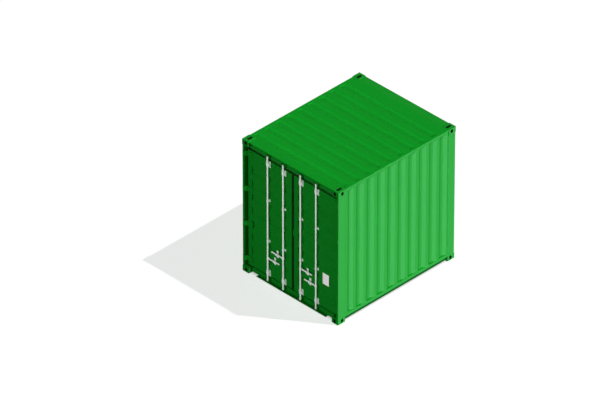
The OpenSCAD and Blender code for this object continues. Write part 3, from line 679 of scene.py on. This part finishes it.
# %% [markdown]
# ## Door seals
# The rubber round each leaf is an extrusion with two lips: one sweeps the frame's face, the
# other closes behind it. A curve with a bevel profile would twist at the corners. So the section
# is drawn once, as reach and depth from 0 to 1, and is carried round the leaf point by point. At a
# corner the lips turn on an arc, as moulded corner pieces do.

# %% Lipped seals
SEAL_SECTION = ((0.0, 0.0), (0.28, 0.0), (0.58, 0.05), (1.0, 0.15), (0.98, 0.24), (0.62, 0.22),
                (0.38, 0.33), (0.31, 0.5), (0.38, 0.63), (0.62, 0.72), (0.95, 0.66), (1.0, 0.76),
                (0.72, 0.9), (0.3, 1.0), (0.0, 1.0))
CORNER_STEPS = 6
SEAL_MERGE = 0.00001


def seal_loop(leaf_low, leaf_high, low, high, reach, depth):
    """Points round the leaf at one reach and depth, with an arc at each corner."""
    x = low.x + depth * (high.x - low.x)
    points = []
    for quarter in range(4):
        for step in range(CORNER_STEPS + 1):
            turn = math.pi / 2 * (quarter + step / CORNER_STEPS)
            across, rise = math.cos(turn), math.sin(turn)
            if quarter in (0, 3):
                y = leaf_high.y + across * reach * (high.y - leaf_high.y)
            else:
                y = leaf_low.y + across * reach * (leaf_low.y - low.y)
            if quarter in (0, 1):
                z = leaf_high.z + rise * reach * (high.z - leaf_high.z)
            else:
                z = leaf_low.z + rise * reach * (leaf_low.z - low.z)
            points.append((x, y, z))
    return points


def lipped_seal(side):
    node = side + "_door_seal"
    leaf_low, leaf_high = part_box(side + "_door_frame")
    low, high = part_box(node)
    work = bmesh.new()
    loops = [[work.verts.new(p) for p in seal_loop(leaf_low, leaf_high, low, high, reach, depth)]
             for reach, depth in SEAL_SECTION]
    for here, there in zip(loops, loops[1:] + loops[:1]):
        for i in range(len(here)):
            j = (i + 1) % len(here)
            work.faces.new((here[i], here[j], there[j], there[i]))
    bmesh.ops.remove_doubles(work, verts=work.verts, dist=SEAL_MERGE)
    seal = piece_from(work, side + "_lipped_seal", FINISH["seal_rubber"], NODE_BODY[node],
                      sharp=50.0)
    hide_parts(node)
    return seal


print("seals:", [lipped_seal(side).name for side in ("left", "right")])

# %% [markdown]
# ## Plywood floor
# The floor comes in whole sheets with eased edges, laid end to end on both sides of a steel strip
# along the middle. The CAD gives the two runs of sheets. Scoring seams into them would need cuts,
# so each sheet is built as a block of its own, with a narrow seam to the next one.

# %% Floor sheets
SHEETS_ALONG = 3
SHEET_SEAM = 0.0015
SHEET_EDGE = 0.002


def add_block(work, low, high, width):
    """A box with rounded edges, added to a bmesh."""
    shape = Matrix.Translation((low + high) / 2) @ Matrix.Diagonal((*(high - low), 1.0))
    made = bmesh.ops.create_cube(work, size=1.0, matrix=shape)
    edges = list(dict.fromkeys(e for v in made["verts"] for e in v.link_edges))
    bmesh.ops.bevel(work, geom=edges, offset=width, segments=2, profile=0.5, affect="EDGES")


floor_runs = solid_boxes("floor_panels")
work = bmesh.new()
for low, high in floor_runs:
    step = (high.x - low.x) / SHEETS_ALONG
    for i in range(SHEETS_ALONG):
        seam_before = SHEET_SEAM / 2 if i else 0.0
        seam_after = SHEET_SEAM / 2 if i < SHEETS_ALONG - 1 else 0.0
        start = Vector((low.x + i * step + seam_before, low.y, low.z))
        end = Vector((low.x + (i + 1) * step - seam_after, high.y, high.z))
        add_block(work, start, end, SHEET_EDGE)
boards = piece_from(work, "floor_sheets", FINISH["plywood"], "frame")
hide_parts("floor_panels")
print("floor sheets:", len(floor_runs) * SHEETS_ALONG)

# %% [markdown]
# ## Bolts, rivets and screws
# Guides and retainers are bolted to the leaves, the plate is riveted, and the floor is screwed to
# its beams. Each could be a small model, but one turned profile serves them all: a list of radius
# and height, spun round an axis with six sides for a bolt head and more for what is round.

# %% Turned parts
DOORWARD = Matrix.Rotation(math.radians(-90.0), 4, "Y")


def add_turned(work, profile, sides, place):
    """Spin (radius, height) pairs round the local Z of a placing matrix."""
    turns = [2 * math.pi * i / sides for i in range(sides)]
    rings = [[work.verts.new(place @ Vector((radius * math.cos(t), radius * math.sin(t), height)))
              for t in turns] for radius, height in profile]
    for low, high in zip(rings, rings[1:]):
        for i in range(sides):
            j = (i + 1) % sides
            work.faces.new((low[i], low[j], high[j], high[i]))
    work.faces.new(rings[-1])
    work.faces.new(list(reversed(rings[0])))


def facing_doors(x, y, z):
    """A place whose Z points out of the doors."""
    return Matrix.Translation((x, y, z)) @ DOORWARD


# %% Bolts of the lock gear
WASHER = ((0.0105, 0.0), (0.0105, 0.0014), (0.0098, 0.0020))
HEAD = ((0.0080, 0.0018), (0.0080, 0.0070), (0.0066, 0.0080))
WASHER_SIDES = 20
HEAD_SIDES = 6
BASE_PLATE = 0.006
RETAINER_SPOT = 0.42
END_GUIDE_TALL = 0.1
END_GUIDE_INSET = (0.014, 0.016)
SMALL_GUIDE_INSET = 0.0125


def bolt_spots(part, wide, tall):
    """Offsets of the bolts from the middle of a guide or a retainer."""
    if part == "_handle_retainers":
        return [(0.0, RETAINER_SPOT * tall), (0.0, -RETAINER_SPOT * tall)]
    if tall > END_GUIDE_TALL:
        across, rise = wide / 2 - END_GUIDE_INSET[0], tall / 2 - END_GUIDE_INSET[1]
        return [(a * across, b * rise) for a in (-1, 1) for b in (-1, 1)]
    return [(a * (wide / 2 - SMALL_GUIDE_INSET), 0.0) for a in (-1, 1)]


def gear_bolts(side):
    work = bmesh.new()
    count = 0
    for part in ("_bar_guides", "_handle_retainers"):
        for low, high in solid_boxes(side + part):
            middle, size = (low + high) / 2, high - low
            for across, rise in bolt_spots(part, size.y, size.z):
                place = facing_doors(high.x - BASE_PLATE, middle.y + across, middle.z + rise)
                add_turned(work, WASHER, WASHER_SIDES, place)
                add_turned(work, HEAD, HEAD_SIDES, place)
                count += 1
    piece_from(work, side + "_gear_bolts", FINISH["zinc_steel"], side + "_door",
               sharp=30.0)
    return count


print("gear bolts:", [gear_bolts(side) for side in ("left", "right")])

# %% Rivets and floor screws
RIVET = ((0.0042, 0.0), (0.0040, 0.0009), (0.0029, 0.0019), (0.0012, 0.0024))
RIVET_SIDES = 16
RIVET_INSET = 0.012
SCREW = ((0.0065, -0.0004), (0.0064, 0.0002), (0.0052, 0.0006), (0.0018, 0.0004))
SCREW_SIDES = 14
SCREW_INSET = 0.04
SCREWS_ACROSS = 6


def plate_rivets():
    low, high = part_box("data_plate")
    work = bmesh.new()
    for y in (low.y + RIVET_INSET, high.y - RIVET_INSET):
        for z in (low.z + RIVET_INSET, high.z - RIVET_INSET):
            add_turned(work, RIVET, RIVET_SIDES, facing_doors(low.x, y, z))
    return piece_from(work, "plate_rivets", FINISH["plate_white"], NODE_BODY["data_plate"],
                      sharp=35.0)


def floor_screws():
    """A row of screws through every run of sheets into every beam."""
    beams = [(low.x + high.x) / 2 for low, high in solid_boxes("floor_crossmembers")]
    work = bmesh.new()
    for low, high in floor_runs:
        step = (high.y - low.y - 2 * SCREW_INSET) / (SCREWS_ACROSS - 1)
        for x in beams:
            for i in range(SCREWS_ACROSS):
                place = Matrix.Translation((x, low.y + SCREW_INSET + i * step, high.z))
                add_turned(work, SCREW, SCREW_SIDES, place)
    piece_from(work, "floor_screws", FINISH["zinc_steel"], "frame", sharp=35.0)
    return len(floor_runs) * len(beams) * SCREWS_ACROSS


print("rivets:", plate_rivets().name, "floor screws:", floor_screws())

# %% [markdown]
# ## Weld beads
# A container is held together by welds: along the edges of its walls, round the ends of its posts,
# beside the keepers, and on the leaves round the panels and the hinge pads. A bevelled curve would
# give smooth tubes. The turned profile, made very long, can swell at every second step like the
# ripples of a weld pool. The wall's beads follow its folds, so their corners are read from the
# sheet's own mesh.

# %% Beads
BEAD_STEP = 0.010
BEAD_SIDES = 6
BEAD_DIP = 0.15
WALL_BEAD = 0.0035
POST_BEAD = 0.0050
PAD_BEAD = 0.0040
KEEPER_BEAD = 0.0030
SEAM_BEAD = 0.0024
SAME_LEVEL = 0.0005
PAD_START = 0.006
OUTWARD = {"left_side_wall": Vector((0, 1, 0)), "right_side_wall": Vector((0, -1, 0)),
           "front_wall": Vector((1, 0, 0))}


def add_bead(work, points, radius):
    """A weld through a line of points."""
    for start, end in zip(points, points[1:]):
        way = end - start
        count = max(2, round(way.length / BEAD_STEP))
        profile = [(radius * (1.0 - BEAD_DIP * (1 - i % 2)), way.length * i / count)
                   for i in range(count + 1)]
        place = Matrix.Translation(start) @ way.to_track_quat("Z", "Y").to_matrix().to_4x4()
        add_turned(work, profile, BEAD_SIDES, place)


def sheet_line(node, level):
    """Corners of a wall sheet's outer face at one height, in order along the wall."""
    outward = OUTWARD[node]
    along = Vector((-outward.y, outward.x, 0.0))
    outer = {}
    for vert in frame["nodes"][node].data.vertices:
        if abs(vert.co.z - level) < SAME_LEVEL:
            key = round(vert.co.dot(along), 5)
            if key not in outer or vert.co.dot(outward) > outer[key].dot(outward):
                outer[key] = vert.co.copy()
    return [outer[key] for key in sorted(outer)]


def ring(low, high):
    """The corners of a rectangle, in order and back to the first."""
    return ((low[0], low[1]), (high[0], low[1]), (high[0], high[1]), (low[0], high[1]),
            (low[0], low[1]))


# %% Welds of the frame
def wall_welds(work):
    for node in OUTWARD:
        low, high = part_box(node)
        foot, head = sheet_line(node, low.z), sheet_line(node, high.z)
        for line in (foot, head, (foot[0], head[0]), (foot[-1], head[-1])):
            add_bead(work, line, WALL_BEAD)


def post_welds(work):
    """A bead round both ends of all four posts, mirrored from one."""
    low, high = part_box("front_right_post")
    for along in (-1, 1):
        for across in (-1, 1):
            for z in (low.z, high.z):
                loop = [Vector((along * x, across * y, z)) for x, y in ring(low.xy, high.xy)]
                add_bead(work, loop, POST_BEAD)


def keeper_welds(work):
    for low, high in solid_boxes("cam_keepers"):
        for y in (low.y, high.y):
            line = (Vector((high.x, y, low.z)), Vector((high.x, y, high.z)))
            add_bead(work, line, KEEPER_BEAD)


work = bmesh.new()
for weld in (wall_welds, post_welds, keeper_welds):
    weld(work)
frame_welds = piece_from(work, "frame_welds", FINISH["green_paint"], "frame",
                         sharp=50.0)
print("weld faces of the frame:", len(frame_welds.data.polygons))

# %% Welds of the leaves
def leaf_welds(side):
    """Beads round the panel of a leaf and round the three free edges of each of its hinge pads."""
    leaf_low, leaf_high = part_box(side + "_door_frame")
    low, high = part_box(side + "_door_panel")
    work = bmesh.new()
    seam = [Vector((leaf_low.x, y, z)) for y, z in ring(low.yz, high.yz)]
    add_bead(work, seam, SEAM_BEAD)
    for low, high in solid_boxes(side + "_hinge_blades"):
        if side == "left":
            near, far = leaf_high.y - PAD_START, low.y
        else:
            near, far = leaf_low.y + PAD_START, high.y
        edges = ((near, low.z), (far, low.z), (far, high.z), (near, high.z))
        add_bead(work, [Vector((high.x, y, z)) for y, z in edges], PAD_BEAD)
    return piece_from(work, side + "_door_welds", FINISH["green_paint"], side + "_door",
                      sharp=50.0)


print("weld faces of the leaves:",
      [len(leaf_welds(side).data.polygons) for side in ("left", "right")])

# %% [markdown]
# ## Flags for the lamps
# Every piece exists now, so the lamps can get their reach. The main lamp leaves out the floor, the
# far door post, which the picture has in shade, and the wall with its top rail and far post, which
# have their own two lamps. The raking one also draws the grooves of the roof. The back lamp stays
# off the roof and the door header, where at its low angle it would lay a grey veil. Cards between
# lamp and steel could do the same, but they would throw shadows of their own.

# %% Light linking
SHADED_PARTS = ("rear_left_post",)
WALL_PARTS = ("right_side_wall", "right_top_rail", "front_right_post")
ROOF_PARTS = ("roof_panel",)
HEADER_PARTS = ("door_header",)


def pieces_of(*parts):
    """The CAD nodes of these names and the copies that stand for them."""
    return [o for o in scene.objects if o.type == "MESH" and any(part in o.name for part in parts)]


def link_lamp(name, pieces, state):
    """Let a lamp light only these pieces (INCLUDE) or all but these (EXCLUDE)."""
    group = bpy.data.collections.new(name + "_reach")
    for piece in pieces:
        group.objects.link(piece)
    for entry in group.collection_objects:
        entry.light_linking.link_state = state
    lamps[name].light_linking.receiver_collection = group
    return len(pieces)


reach = {
    "main_light": ("EXCLUDE", [floor] + pieces_of(*SHADED_PARTS, *WALL_PARTS)),
    "wall_light": ("INCLUDE", pieces_of(*WALL_PARTS)),
    "rake_light": ("INCLUDE", pieces_of(*WALL_PARTS, *ROOF_PARTS)),
    "door_light": ("EXCLUDE", [floor]),
    "back_light": ("EXCLUDE", [floor] + pieces_of(*ROOF_PARTS, *HEADER_PARTS)),
    "floor_light": ("INCLUDE", [floor]),
}
print("linked:", {name: (state, link_lamp(name, pieces, state))
                  for name, (state, pieces) in reach.items()})
